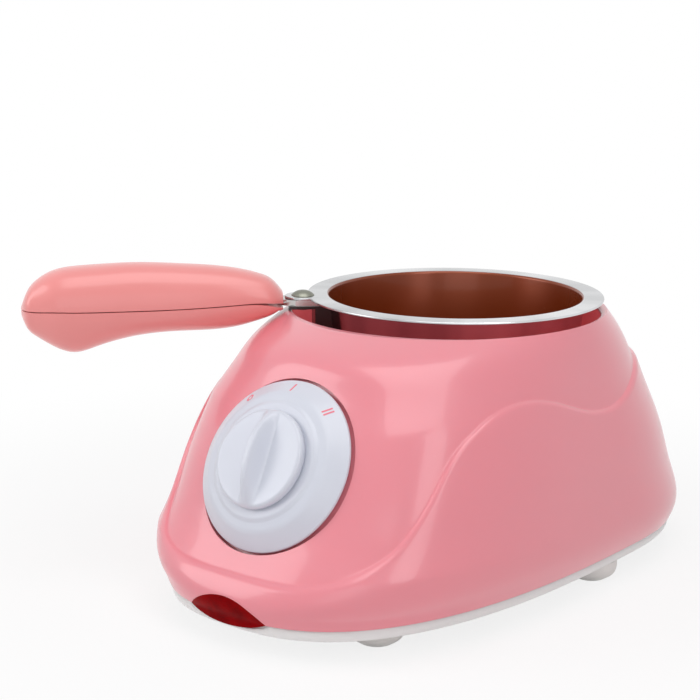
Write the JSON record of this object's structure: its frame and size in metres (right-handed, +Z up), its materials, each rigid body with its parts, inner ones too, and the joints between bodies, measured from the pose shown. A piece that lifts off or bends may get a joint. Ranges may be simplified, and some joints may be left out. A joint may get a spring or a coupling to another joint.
{
  "type": "chocolate melter",
  "caption": "Electric melting pot: an oval moulded housing with a rotary switch on its sloping front and a lift-off steel pot with a flat flange and a side handle.",
  "frame": {"origin": "on the floor, under the middle of the whole object's box, with the handle and the gland in it", "axes": "+Z up, -Y towards the front with the dial, +X to the right as seen from the front"},
  "size_m": [0.1728, 0.209, 0.1059],
  "materials": {
    "housing_plastic": "gloss pink moulded plastic",
    "pan_plastic": "white satin plastic",
    "foot_rubber": "soft pale grey rubber",
    "lens_plastic": "clear deep red plastic",
    "dial_plastic": "white satin plastic",
    "knob_plastic": "white satin plastic",
    "handle_plastic": "gloss pink moulded plastic",
    "pot_steel": "polished sheet steel",
    "steel": "bright plated steel",
    "bracket_steel": "black coated steel",
    "aluminium": "turned aluminium",
    "heater_mica": "pressed mica",
    "shield_steel": "thin sheet steel",
    "switch_plastic": "black plastic",
    "brass": "plated brass",
    "lamp_glass": "small glass lamp",
    "holder_plastic": "natural plastic",
    "seal_silicone": "red silicone",
    "block_plastic": "natural plastic",
    "thermostat_case": "white steatite",
    "fuse_case": "tinned metal case",
    "gland_plastic": "white plastic"
  },
  "bodies": {
    "housing": {"upper_housing": "housing_plastic", "base_pan": "pan_plastic", "indicator_lens": "lens_plastic", "foot_front_left": "foot_rubber", "foot_front_right": "foot_rubber", "foot_middle_left": "foot_rubber", "foot_middle_right": "foot_rubber", "foot_back_left": "foot_rubber", "foot_back_right": "foot_rubber", "base_screw_front_left": "steel", "base_screw_front_right": "steel", "base_screw_back_left": "steel", "base_screw_back_right": "steel", "dial_plate": "dial_plastic", "rotary_switch": "switch_plastic", "switch_nut": "steel", "switch_blade_1": "brass", "switch_blade_2": "brass", "switch_blade_3": "brass", "neon_lamp": "lamp_glass", "lamp_holder": "holder_plastic", "heating_plate": "aluminium", "plate_seal": "seal_silicone", "heater_element": "heater_mica", "heater_clamp": "shield_steel", "heat_shield": "shield_steel", "hang_stud_1": "steel", "clamp_spacer_1": "steel", "shield_nut_1": "steel", "hang_stud_2": "steel", "clamp_spacer_2": "steel", "shield_nut_2": "steel", "hang_stud_3": "steel", "clamp_spacer_3": "steel", "shield_nut_3": "steel", "thermostat": "thermostat_case", "thermal_fuse": "fuse_case", "fuse_clip": "shield_steel", "terminal_block": "block_plastic", "pole_screw_1": "brass", "pole_screw_2": "brass", "pole_screw_3": "brass", "cord_gland": "gland_plastic", "gland_nut": "gland_plastic"},
    "knob": {"control_knob": "knob_plastic", "switch_shaft": "brass"},
    "pot": {"pot": "pot_steel", "pot_bracket": "bracket_steel", "handle_tang": "steel", "ear_rivet": "steel", "handle_upper": "handle_plastic", "handle_lower": "handle_plastic", "handle_screw_front": "steel", "handle_screw_back": "steel"}
  },
  "joints": [
    {"name": "knob_turn", "type": "hinge", "parent": "housing", "child": "knob", "pos_m": [0.02063, -0.08047, 0.05334], "axis": [0, -0.871, 0.4912], "range_deg": [-39, 39]},
    {"name": "pot_lift", "type": "slide", "parent": "housing", "child": "pot", "axis": [0, 0, 1], "range_m": [0, 0.06]}
  ]
}
